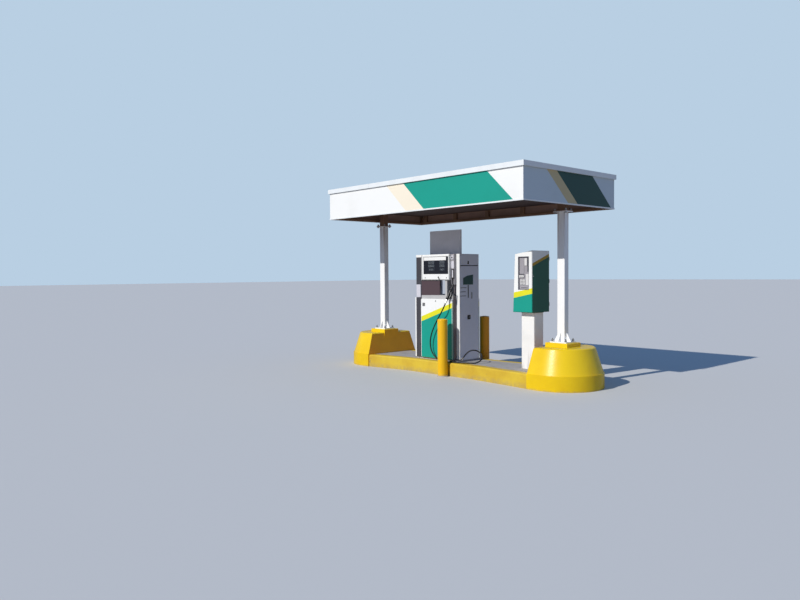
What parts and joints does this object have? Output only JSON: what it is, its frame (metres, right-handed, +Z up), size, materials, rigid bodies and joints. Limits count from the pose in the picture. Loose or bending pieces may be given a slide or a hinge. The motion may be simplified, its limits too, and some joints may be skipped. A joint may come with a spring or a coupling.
{
  "type": "filling station canopy with pump island",
  "caption": "Small box-edged canopy on two columns with concrete plinths, over a kerbed island with a fuel dispenser, a payment terminal and bollards.",
  "frame": {"origin": "on the ground, midway between the two columns", "axes": "+Z up, +X along the long fascia from the dispenser end towards the terminal end, -Y the side that the picture faces"},
  "size_m": [5.4096, 2.43, 3.3303],
  "materials": {
    "black_rubber": "smooth",
    "board_grey": "matt paint",
    "cabinet_livery": "gloss paint in white, yellow and green bands",
    "cabinet_white": "gloss paint",
    "dark_grey": "moulded",
    "display_black": "gloss",
    "fascia_sheet": "satin paint with green and cream bands",
    "frame_steel": "primer, weathered",
    "grey_concrete": "trowelled concrete",
    "nozzle_black": "moulded cover",
    "roof_steel": "galvanised, dull",
    "soffit_sheet": "matt paint",
    "stainless": "brushed",
    "trim_sheet": "satin paint",
    "white_steel": "satin paint",
    "yellow_concrete": "painted concrete, worn",
    "yellow_steel": "gloss paint, worn"
  },
  "bodies": {
    "root": {"bollard_back": "yellow_steel", "bollard_front": "yellow_steel", "cabinet_panel_back": "cabinet_livery", "cabinet_panel_front": "cabinet_livery", "cap_back": "trim_sheet", "cap_front": "trim_sheet", "cap_left": "trim_sheet", "cap_right": "trim_sheet", "column_left": "white_steel", "column_right": "white_steel", "cross_beam_left": "frame_steel", "cross_beam_right": "frame_steel", "dispenser_base": "dark_grey", "dispenser_cabinet": "cabinet_white", "dispenser_head": "stainless", "dispenser_side_left": "stainless", "dispenser_side_right": "stainless", "display_back": "display_black", "display_front": "display_black", "edge_frame": "frame_steel", "fascia_back": "fascia_sheet", "fascia_front": "fascia_sheet", "fascia_left": "fascia_sheet", "fascia_right": "fascia_sheet", "hose": "black_rubber", "island_slab": "grey_concrete", "kerb_back": "yellow_concrete", "kerb_front": "yellow_concrete", "neck_panel": "dark_grey", "nozzle": "nozzle_black", "nozzle_boot": "dark_grey", "plinth_left": "yellow_concrete", "plinth_right": "yellow_concrete", "purlin_back": "frame_steel", "purlin_front": "frame_steel", "purlin_middle": "frame_steel", "riser_strips": "cabinet_white", "roof_sheet": "roof_steel", "soffit_board": "soffit_sheet", "stub_left": "frame_steel", "stub_right": "frame_steel", "terminal_head": "cabinet_livery", "terminal_panel": "dark_grey", "terminal_post": "white_steel", "topper_board": "board_grey"}
  },
  "joints": []
}
